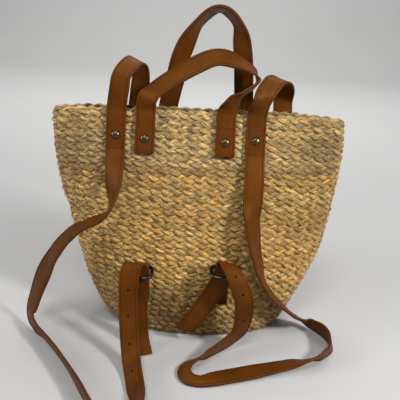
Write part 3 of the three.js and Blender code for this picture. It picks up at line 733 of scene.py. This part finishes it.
def wall_row(z):
    """Middle line of the row at a height, with the ways out of and up the wall."""
    middle = PLAIT_THICKNESS / 2
    points = wall_point(ROW_ANGLES, z, middle)
    low = wall_point(ROW_ANGLES, max(z - UPWARD_REACH, 0), middle)
    high = wall_point(ROW_ANGLES, min(z + UPWARD_REACH, RIM_HEIGHT), middle)
    upward = unit(high - low)
    return points, unit(np.cross(loop_tangent(points), upward)), upward


def base_row(inset):
    points = wall_point(ROW_ANGLES, 0.0, inset)
    points[:, 2] = PLAIT_THICKNESS / 2
    outward = np.tile([0.0, 0.0, -1.0], (PATH_SAMPLES, 1))
    return points, outward, unit(np.cross(outward, loop_tangent(points)))


def make_plait():
    rng = np.random.default_rng(SEED)
    rows = round(RIM_HEIGHT / PLAIT_PITCH)
    band = rows // 4
    loose = Heap()
    heap = Heap()
    inset = PLAIT_PITCH / 2 + BASE_INSET
    while inset < column_at("near", 0.0):
        plait_row(heap, loose, rng, *base_row(inset))
        inset += PLAIT_PITCH - BASE_LAP
    pieces = [heap.piece("plait_base", JUTE, "jute")]
    start = 0.0
    for k, name in enumerate(("plait_low", "plait_middle", "plait_high", "plait_rim")):
        heap = Heap()
        for row in range(k * band, rows if name == "plait_rim" else (k + 1) * band):
            periods = WALL_PERIODS - max(0, SHORT_ROWS - row)
            start += rng.uniform(-ROW_START, ROW_START)
            plait_row(heap, loose, rng, *wall_row((row + 0.5) * PLAIT_PITCH), periods, start, ROW_LEAN)
        pieces.append(heap.piece(name, JUTE, "jute"))
    pieces.append(loose.piece("plait_fibres", JUTE, "jute"))
    for piece in pieces:
        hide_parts("basket")


def make_core():
    """A wall of loose jute in the middle of the plait, which fills the gaps between its strands, darkened
    as painted shade.
    """
    angle = round_angles(CORE_AROUND)
    outer, inner = ((PLAIT_THICKNESS + side * CORE_THICKNESS) / 2 for side in (-1, 1))
    heights = np.arange(CORE_LOW, RIM_HEIGHT - CORE_RIM_GAP, CORE_STEP)
    base = wall_point(angle, CORE_LOW, CORE_BASE_INSET) * [1, 1, 0]
    rings = [base + [0, 0, outer]]
    rings += [wall_point(angle, z, outer) for z in heights]
    rings += [wall_point(angle, z, inner) for z in heights[::-1]]
    rings.append(base + [0, 0, inner])
    points = np.concatenate(rings)
    mesh_piece("plait_core", JUTE, tube(rings),
               {"tint": tints(CORE_SHADE * tone_and_shade_at(points[:, 2])), "fibre": points})


make_plait()
make_core()

# Straps and handles

HALF_WIDTH = STRAP_WIDTH / 2
HALF_LEATHER = STRAP_THICKNESS / 2
STRAP_STEP = 2.0
EDGE_ROUNDING = 0.8
EDGE_TURNS = [k * math.pi / 8 for k in (1, 2, 3)]
GROOVE_DEPTH = 0.16
GROOVE_REACH = 0.7
STITCH_INSET = 2.3
STITCH_LINE = HALF_WIDTH - STITCH_INSET
STITCH_PITCH = 3.6
STITCH_LENGTH = 2.7
STITCH_RADIUS = 0.42
STITCH_SIDES = 5
STITCH_FLATNESS = 0.7
# How far the stitches sink into the leather, and those of a tab's cross.
STITCH_SINK = 0.10
CROSS_SINK = 0.15
# A stitch along its length: share of the length, share of the radius.
STITCH_PROFILE = ((0.0, 0.35), (0.12, 0.8), (0.5, 1.0), (0.88, 0.8), (1.0, 0.35))
# How far the long rows of stitches end before the strap does, and a tab's last row before the tab.
STITCH_END = 2.0
TAB_STITCH_END = 0.5
# How far the leather would cup in a bend so tight that it lost its whole width.
CUP_RISE = 6.0
# What a row of a route means where it says no more: no wall, no slant, the full width.
ROUTE_DEFAULTS = (0, 0, STRAP_WIDTH)
# A step of the curve that is short enough to read its direction.
NEARBY = 1e-3
# A tab runs at least this steeply.
UPRIGHT = 0.8


def on_wall(x, z, side):
    """Where the middle of a strap on the wall lies, and the way its outer face looks."""
    lower = wall_depth(x, z - PLAIT_PITCH, side)
    upper = wall_depth(x, z + PLAIT_PITCH, side)
    left = wall_depth(x - HALF_WIDTH, z, side)
    right = wall_depth(x + HALF_WIDTH, z, side)
    face = unit(np.array([(left - right) / STRAP_WIDTH, side, (lower - upper) / (2 * PLAIT_PITCH)]))
    return np.array([x, side * wall_depth(x, z, side), z]) + face * (FIT_GAP + HALF_LEATHER), face


def tab_rows(x, side, drop=0.0):
    """The part of a route that lies on a wall, from the tab's end up to the rim."""
    heights = TAB_END_HEIGHT - drop, RIVET_HEIGHT - drop, TAB_TOP_HEIGHT, TAB_RIM_HEIGHT
    return [(*np.concatenate(on_wall(x, z, side)), side) for z in heights]


def handle_route(arch, side):
    left, right = (tab_rows(TAB_PLACES[tab][side], side, HANDLE_TAB_DROP)
                   for tab in ("left_handle", "right_handle"))
    return [*left, *arch, *right[::-1]]


def shoulder_route(tab, loop, run):
    far, near = (tab_rows(TAB_PLACES[tab][side], side) for side in (FAR, NEAR))
    return [*far, *loop, *near[::-1], *run]


def curve_point(places, t):
    """A point of the centripetal Catmull-Rom curve through the places."""
    last = len(places) - 1
    i = min(int(t), last - 1)
    s = t - i
    p1, p2 = places[i:i + 2]
    p0 = places[i - 1] if i > 0 else 2 * p1 - p2
    p3 = places[i + 2] if i + 2 <= last else 2 * p2 - p1
    d0, d1, d2 = (max(np.linalg.norm(b - a) ** 0.5, 1e-4) for a, b in ((p0, p1), (p1, p2), (p2, p3)))
    m1 = ((p1 - p0) / d0 - (p2 - p0) / (d0 + d1) + (p2 - p1) / d1) * d1
    m2 = ((p2 - p1) / d1 - (p3 - p1) / (d1 + d2) + (p3 - p2) / d2) * d1
    return (p1 + m1 * s + (-3 * p1 + 3 * p2 - 2 * m1 - m2) * s * s
            + (2 * p1 - 2 * p2 + m1 + m2) * s ** 3)


class Strap:
    """A strip along a route: its middle line, its ways along, across and out, and its length so far."""

    def __init__(self, route):
        rows = np.array([(*row, *ROUTE_DEFAULTS[len(row) - 6:]) for row in route], float)
        places = rows[:, :3]
        faces = unit(rows[:, 3:6])
        spans = len(rows) - 1
        found = []
        for i in range(spans):
            steps = max(3, math.ceil(np.linalg.norm(places[i + 1] - places[i]) / STRAP_STEP))
            for k in range(steps + (i == spans - 1)):
                s = k / steps
                t = i + s
                slant, width = rows[i, 7:] * (1 - s) + rows[i + 1, 7:] * s
                centre = curve_point(places, t)
                ahead = curve_point(places, min(t + NEARBY, spans))
                tangent = unit(ahead - curve_point(places, max(t - NEARBY, 0)))
                face = faces[i] * (1 - smooth(s)) + faces[i + 1] * smooth(s)
                normal = unit(face - tangent * np.dot(face, tangent))
                cross = unit(np.cross(normal, tangent))
                shift = self.settled(centre, tangent * slant, normal * HALF_LEATHER, cross * width / 2,
                                     rows[int(t), 6])
                found.append((centre + shift, tangent, normal, cross, slant, width))
        self.centre, self.tangent, self.normal, self.across, self.slant, self.width = (
            np.array(column) for column in zip(*found))
        self.along = lengths(self.centre)

    @staticmethod
    def settled(centre, slanted, half_through, half_across, side):
        """How far the strip moves to clear the floor and the wall that it lies on, if any."""
        push = 0.0
        lowest = math.inf
        for a, n in ((-1, -1), (1, -1), (1, 1), (-1, 1)):
            x, y, z = centre + half_across * a + half_through * n + slanted * a
            lowest = min(lowest, z)
            if side and z < RIM_HEIGHT:
                wall = wall_depth(x, z, side)
                if wall > 0:
                    push = max(push, wall + FIT_GAP - side * y)
        return np.array([0.0, side * push, max(0.0, FLOOR_GAP - lowest)])

    def at(self, along, across, height):
        """Points on the strip, so far along it, so far across it and so high over its middle."""
        centre, tangent, cross, normal = (read_rows(along, self.along, rows) for rows in (
            self.centre, self.tangent, self.across, self.normal))
        normal = unit(normal)
        share = across / HALF_WIDTH
        slant = np.interp(along, self.along, self.slant) * share
        width = np.interp(along, self.along, self.width)
        height = height - CUP_RISE * (1 - width / STRAP_WIDTH) * (1 - share * share)
        return (centre + unit(cross) * (share * width / 2)[..., None] + normal * height[..., None]
                + unit(tangent) * slant[..., None]), normal


def strap_section():
    """Once round the strip's section: place across, place through, edge and groove."""
    flat = HALF_WIDTH - EDGE_ROUNDING
    line = STITCH_LINE
    half_face = [(line / 2, 0), (line - GROOVE_REACH, 0), (line, 1), (line + GROOVE_REACH, 0), (flat, 0)]
    face = [(-x, groove) for x, groove in half_face[::-1]] + [(0, 0)] + half_face
    bend = [(flat + EDGE_ROUNDING * math.sin(turn), HALF_LEATHER - EDGE_ROUNDING * (1 - math.cos(turn)))
            for turn in EDGE_TURNS]
    half = [(x, HALF_LEATHER - GROOVE_DEPTH * groove, 0, groove) for x, groove in face]
    half += [(x, y, 1, 0) for x, y in bend] + [(x, -y, 1, 0) for x, y in bend[::-1]]
    return np.concatenate([np.array(half) * turned for turned in ((1, -1, 1, 1), (-1, 1, 1, 1))])


def strap_piece(name, strap, tabs):
    across, through, edge, groove = strap_section().T
    count = len(strap.along)
    around = len(across)
    points, _ = strap.at(np.repeat(strap.along[:, None], around, 1), across, through)
    tab = np.zeros(count)
    for low, high in tabs:
        tab = np.maximum(tab, smooth((strap.along - low + 1) / 2) * smooth((high + 1 - strap.along) / 2))
    piece = mesh_piece(name + "_leather", LEATHER, tube(points),
                       dict(edge=np.tile(edge, count), groove=np.tile(groove, count),
                            tab=np.repeat(tab, around)))
    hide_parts(name)


def stitch(heap, start, end, normal):
    """One stitch: a small round-ended body between two points."""
    side = unit(np.cross(end - start, normal))
    up = np.cross(side, unit(end - start))
    ring = STITCH_RADIUS * circle(STITCH_SIDES, side, STITCH_FLATNESS * up)
    heap.add(tube([start + (end - start) * share + ring * size for share, size in STITCH_PROFILE]))


def stitch_line(heap, strap, start, end, height):
    """Stitches along a straight line on the strip, between two places of along and across."""
    start, end = np.array([start, end], float)
    length = np.linalg.norm(end - start)
    count = max(1, int(length / STITCH_PITCH))
    half = (end - start) / length * (STITCH_LENGTH / 2)
    for k in range(count):
        middle = start + (end - start) * ((k + 0.5) / count)
        a, normal = strap.at(*(middle - half), height)
        b, _ = strap.at(*(middle + half), height)
        stitch(heap, a, b, normal)


def strap_stitches(name, strap, tabs):
    heap = Heap()
    line = STITCH_LINE
    surface = HALF_LEATHER - STITCH_SINK
    deeper = HALF_LEATHER - CROSS_SINK
    last = strap.along[-1] - STITCH_END
    for across in (-line, line):
        for height in (-surface, surface):
            stitch_line(heap, strap, (STITCH_END, across), (last, across), height)
    for low, high in tabs:
        low, high = low + STITCH_INSET, high - TAB_STITCH_END
        for place in (low, high):
            stitch_line(heap, strap, (place, -line), (place, line), surface)
        for across in (-line, line):
            stitch_line(heap, strap, (low, across), (high, -across), deeper)
    heap.piece(name + "_stitches", THREAD, "leather")


# Punched holes: how far from the free end, in millimetres.
STRAP_HOLES = {
    "left_shoulder_strap": (72.5, 141.5, 168.5, 197.5, 228.0),
    "right_shoulder_strap": (114.0, 135.5, 169.5),
}
HOLE_SIDES = 14
# A hole's pressed edge and middle, a dark disc of painted shade on the leather: radius, and how far off the
# leather's face.
HOLE_ROWS = ((1.265, -0.05), (1.265, 0.02), (1.1, 0.05), (0.55, 0.03))


def strap_holes(name, strap):
    heap = Heap()
    psi = round_angles(HOLE_SIDES)
    for back in STRAP_HOLES[name]:
        along = strap.along[-1] - back
        for side in (-1, 1):
            rings = [strap.at(along + radius * np.sin(psi), radius * np.cos(psi) * side,
                              side * (HALF_LEATHER + height))[0] for radius, height in HOLE_ROWS]
            heap.add(tube(rings))
    heap.piece(name + "_holes", HOLE_SHADE, "leather")


# How far over its end a shoulder strap's tab is read, and how many steps of a handle are its tab's.
TAB_READ_GAP = 0.5
HANDLE_TAB_STEPS = 20


def tab_spans(name, strap):
    """Where the tabs start and end, as lengths along the strap."""
    if "handle" in name:
        rise = np.abs(strap.centre[:HANDLE_TAB_STEPS, 2] - TAB_TOP_HEIGHT)
        reach = strap.along[np.argmin(rise)]
        return [(0.0, reach), (strap.along[-1] - reach, strap.along[-1])]
    spans = []
    for side in (FAR, NEAR):
        upright = (strap.centre[:, 1] * side > 0) & (np.abs(strap.tangent[:, 2]) > UPRIGHT)
        heights = np.where(upright, strap.centre[:, 2], math.inf)
        spans.append(sorted(strap.along[np.argmin(np.abs(heights - z))]
                            for z in (TAB_END_HEIGHT + TAB_READ_GAP, TAB_TOP_HEIGHT)))
    return spans


def make_leather():
    routes = {
        "front_handle": handle_route(FRONT_HANDLE_ARCH, NEAR),
        "back_handle": handle_route(BACK_HANDLE_ARCH, FAR),
        "left_shoulder_strap": shoulder_route("left_shoulder", LEFT_SHOULDER_LOOP, LEFT_SHOULDER_RUN),
        "right_shoulder_strap": shoulder_route("right_shoulder", RIGHT_SHOULDER_LOOP, RIGHT_SHOULDER_RUN),
    }
    for name, route in routes.items():
        strap = Strap(route)
        tabs = tab_spans(name, strap)
        strap_piece(name, strap, tabs)
        strap_stitches(name, strap, tabs)
        if name in STRAP_HOLES:
            strap_holes(name, strap)


make_leather()

# Rivets

RIVET_SIDES = 36
RIVET_SEAT = 0.05
RIVET_RIM = 0.25
RIVET_FOOT = 0.98
RIVET_DOME_STEPS = 8
# The cap on the inside: share of the radius, share of the rise.
RIVET_BACK_ROWS = ((0.5, 1.0), (0.86, 0.85), (1.0, 0.4), (1.0, 0.0))


def make_rivet(name, place, face):
    seat = place + face * (HALF_LEATHER + RIVET_SEAT)
    back = -(STRAP_THICKNESS + PLAIT_THICKNESS + 3 * FIT_GAP)
    cap = RIVET_CAP_RADIUS
    rows = [(cap * share, back - RIVET_BACK_RISE * rise) for share, rise in RIVET_BACK_ROWS]
    rows += [(RIVET_POST_RADIUS, back), (RIVET_POST_RADIUS, 0.0), (cap * RIVET_FOOT, 0.0), (cap, RIVET_RIM)]
    for k in range(1, RIVET_DOME_STEPS + 1):
        turn = k * math.pi / (2 * RIVET_DOME_STEPS + 1)
        rows.append((cap * math.cos(turn), RIVET_RIM + RIVET_CAP_RISE * math.sin(turn)))
    side_way = unit(np.cross(face, [0, 0, 1]))
    ring = circle(RIVET_SIDES, side_way, np.cross(side_way, face))
    rings = [seat + face * height + radius * ring for radius, height in rows]
    piece = mesh_piece(name + "_cap", BRASS, tube(rings))
    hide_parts(name)


for tab_name, tab_sides in TAB_PLACES.items():
    tab_drop = HANDLE_TAB_DROP if "handle" in tab_name else 0.0
    for tab_side, tab_x in tab_sides.items():
        make_rivet(f"{tab_name}_{'near' if tab_side == NEAR else 'far'}_rivet",
                   *on_wall(tab_x, RIVET_HEIGHT - tab_drop, tab_side))

# Rings and the loops that hold them

RING_STEPS = 120
RING_SIDES = 14
TAB_CORNER = 0.6
# Slack between the two leaves of a loop, and what each is thinned by.
TAB_LEAF_GAP = 0.05
TAB_LEAF_THIN = 0.02
TAB_PARTING_STEPS = 6
TAB_EYE_STEPS = 12
TAB_FRONT_STEPS = 4
# Stitches on a loop: how far in from its edges and below its eye, and the part of a pitch that shows.
TAB_STITCH_INSET = 2.2
TAB_STITCH_DROP = 1.0
TAB_STITCH_SPAN = (0.12, 0.88)
TAB_REDNESS = 0.7


def ring_frame(x, bar_z):
    """The ways up and out of the wall at a ring, the loop's length and the middle of the ring's bar."""
    foot, head = (np.array([x, -wall_depth(x, z, NEAR), z]) for z in (RING_TAB_END, bar_z))
    up = unit(head - foot)
    out = np.array([0.0, -up[2], up[1]])
    bulge = max(np.dot(np.array([x, -wall_depth(x + edge, z, NEAR), z]) - foot, out)
                for z in np.linspace(RING_TAB_END, bar_z, RING_TAB_CHECKS + 1)
                for edge in (-RING_TAB_WIDTH / 2, 0.0, RING_TAB_WIDTH / 2))
    eye = RING_WIRE_RADIUS + FIT_GAP + RING_TAB_LEATHER
    return up, out, np.linalg.norm(head - foot), head + out * (bulge + FIT_GAP + eye)


def closed_curve(places, count):
    ring = np.concatenate([places[-1:], places, places[:2]])
    turns = np.arange(count) * len(places) / count
    return np.array([curve_point(ring[int(t):int(t) + 4], 1 + t - int(t)) for t in turns])


def make_ring(side, ring_x, tab_x, bar_z):
    up, out, _, bar = ring_frame(tab_x, bar_z)
    half = RING_INNER_WIDTH / 2 + RING_WIRE_RADIUS
    corner = RING_CORNER
    forward = out * math.cos(RING_DROP_ANGLE) - up * math.sin(RING_DROP_ANGLE)
    right = [(half - 2 * corner, 0), (half - corner, 0), (half, corner), (half, RING_REACH - 2 * corner),
             (half - corner, RING_REACH - corner / 2)]
    left = [(-across, reach) for across, reach in right[::-1]]
    outline = left[-2:] + right + [(0, RING_REACH)] + left[:-2]
    path = closed_curve(np.array([[ring_x + across, *bar[1:]] + forward * reach
                                  for across, reach in outline]), RING_STEPS)
    normal = np.cross([1, 0, 0], forward)
    inward = np.cross(loop_tangent(path), normal)
    rings = path[:, None] + RING_WIRE_RADIUS * circle(RING_SIDES, inward, normal)
    piece = mesh_piece(f"{side}_ring_wire", GUNMETAL, tube(rings, closed=True))
    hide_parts(f"{side}_ring")


def make_ring_tab(side, tab_x, bar_z):
    """A strip of leather: two leaves that lie together on the wall and part round the ring's bar."""
    up, out, length, bar = ring_frame(tab_x, bar_z)
    leaf = RING_TAB_LEATHER
    mid = RING_WIRE_RADIUS + FIT_GAP + leaf / 2
    neck = -2 * (mid + leaf / 2)
    front = mid - leaf - TAB_LEAF_GAP
    path = [(front, -length), (front, neck)]
    for s in np.arange(1, TAB_PARTING_STEPS) / TAB_PARTING_STEPS:
        path.append((mid - leaf - (2 * mid - leaf) * smooth(s), neck * (1 - s)))
    for k in range(TAB_EYE_STEPS + 1):
        turn = math.pi - k * math.pi / TAB_EYE_STEPS
        path.append((mid * math.cos(turn), mid * math.sin(turn)))
    path += [(mid, neck * k / TAB_FRONT_STEPS) for k in range(1, TAB_FRONT_STEPS + 1)] + [(mid, -length)]
    path = np.array(path)
    tangent = unit(np.gradient(path, axis=0))
    half = RING_TAB_WIDTH / 2
    thick = leaf / 2 - TAB_LEAF_THIN
    section = []
    for a, b in ((1, 1), (-1, 1), (-1, -1), (1, -1)):
        for k in (0, 1, 2) if a * b > 0 else (2, 1, 0):
            t = k * math.pi / 4
            section.append((a * (half - TAB_CORNER + TAB_CORNER * math.cos(t)),
                            b * (thick - TAB_CORNER + TAB_CORNER * math.sin(t))))
    section = np.array(section)
    rings = []
    for (deep, high), (along_deep, along_high) in zip(path, tangent):
        way = out * along_high + up * along_deep
        rings.append(bar - out * deep + up * high + np.outer(section[:, 0], [1, 0, 0])
                     + np.outer(section[:, 1], way))
    edge = np.tile(np.abs(section[:, 0]) > half - TAB_CORNER / 2, len(rings))
    plain = np.zeros(len(edge))
    piece = mesh_piece(f"{side}_ring_tab_leather", LEATHER, tube(rings),
                       {"edge": edge, "groove": plain, "tab": plain + TAB_REDNESS})
    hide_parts(f"{side}_ring_tab")
    heap = Heap()
    surface = bar - out * front + out * (leaf / 2 + TAB_LEAF_GAP)
    across = half - TAB_STITCH_INSET
    low = TAB_STITCH_INSET - length
    high = neck - TAB_STITCH_DROP
    corners = np.array([(-across, low), (across, low), (across, high), (-across, high)])
    for start, end in zip(corners, np.roll(corners, -1, 0)):
        pitches = max(1, int(np.linalg.norm(end - start) / STITCH_PITCH))
        for i in range(pitches):
            flat = [start + (end - start) * ((i + share) / pitches) for share in TAB_STITCH_SPAN]
            a, b = (surface + up * v + [u, 0, 0] for u, v in flat)
            stitch(heap, a, b, out)
    heap.piece(f"{side}_ring_tab_stitches", THREAD, "leather")


for ring_side, (middle_x, loop_x, bar_height) in RING_PLACES.items():
    make_ring(ring_side, middle_x, loop_x, bar_height)
    make_ring_tab(ring_side, loop_x, bar_height)

# Floor, light and camera, in metres

# The floor runs flat under the bag and sweeps up far behind it.
FLOOR_REACH = 6.0
FLOOR_DROP = 0.0002
SWEEP_START = 2.0
SWEEP_RADIUS = 1.5
SWEEP_STEPS = 16
WARM_WHITE = (1.0, 0.97, 0.92)
# Place, target, size, power and colour of each light.
LIGHTS = {
    "behind": ((0.1, 0.6, 1.35), (0, -0.03, 0.1), (1.0, 0.7), 8.0, (1.0, 0.98, 0.95)),
    "right": ((0.85, -0.64, 0.85), (0, 0, 0.12), (0.18, 0.18), 16.5, WARM_WHITE),
    "front": ((-0.2, -0.85, 1.55), (0, 0, 0.12), (0.5, 0.5), 12.0, WARM_WHITE),
    "left": ((-1.1, -0.32, 0.6), (0, 0, 0.1), (0.5, 0.5), 7.0, WARM_WHITE),
    "sweep": ((0, 0.9, 1.6), (0, 3.0, 0.6), (3.0, 1.0), 72.0, (1.0, 0.98, 0.93)),
}
SKY_COLOUR = (0.8, 0.775, 0.72, 1)
SKY_STRENGTH = 0.26
CAMERA_PLACE = (0, -0.515, 0.35)
CAMERA_PITCH = 21.8
CAMERA_ROLL = 2.8
CAMERA_RANGE = (0.01, 50.0)
FOCAL_PIXELS = 505.0
IMAGE_PIXELS = 400.0
SENSOR_WIDTH = 36.0


def make_stage():
    profile = [(-FLOOR_REACH, 0.0)]
    for turn in np.linspace(0, math.pi / 2, SWEEP_STEPS + 1):
        profile.append((SWEEP_START + SWEEP_RADIUS * math.sin(turn), SWEEP_RADIUS * (1 - math.cos(turn))))
    points = [(x, y, z - FLOOR_DROP) for y, z in profile for x in (-FLOOR_REACH, FLOOR_REACH)]
    faces = [(2 * k, 2 * k + 1, 2 * k + 3, 2 * k + 2) for k in range(len(profile) - 1)]
    mesh = bpy.data.meshes.new("floor")
    mesh.from_pydata(points, [], faces, shade_flat=False)
    mesh.materials.append(speckled_material(
        "pale_floor", 3.0, (0.4, 0.408, 0.428, 1), (0.435, 0.443, 0.463, 1), {"Roughness": 0.45}))
    floor = add_object("floor", mesh)


def make_light():
    for name, (place, target, size, power, colour) in LIGHTS.items():
        data = bpy.data.lights.new(name, "AREA")
        data.shape = "RECTANGLE"
        data.size, data.size_y = size
        data.energy = power
        data.color = colour
        light = add_object(name, data)
        light.location = place
        light.rotation_mode = "QUATERNION"
        light.rotation_quaternion = (Vector(target) - Vector(place)).to_track_quat("-Z", "Y")
    world = bpy.data.worlds.new("studio")
    bpy.context.scene.world = world
    world.use_nodes = True
    back = world.node_tree.nodes["Background"]
    back.inputs["Color"].default_value = SKY_COLOUR
    back.inputs["Strength"].default_value = SKY_STRENGTH


def make_camera():
    data = bpy.data.cameras.new("camera")
    data.sensor_width = SENSOR_WIDTH
    data.lens = SENSOR_WIDTH * FOCAL_PIXELS / IMAGE_PIXELS
    data.clip_start, data.clip_end = CAMERA_RANGE
    camera = add_object("camera", data)
    camera.rotation_mode = "QUATERNION"
    pitch = Matrix.Rotation(math.radians(90 - CAMERA_PITCH), 3, "X")
    roll = Matrix.Rotation(math.radians(CAMERA_ROLL), 3, "Z")
    camera.rotation_quaternion = (pitch @ roll).to_quaternion()
    camera.location = CAMERA_PLACE
    bpy.context.scene.camera = camera


make_stage()
make_light()
make_camera()
bpy.context.scene.view_settings.view_transform = "Standard"
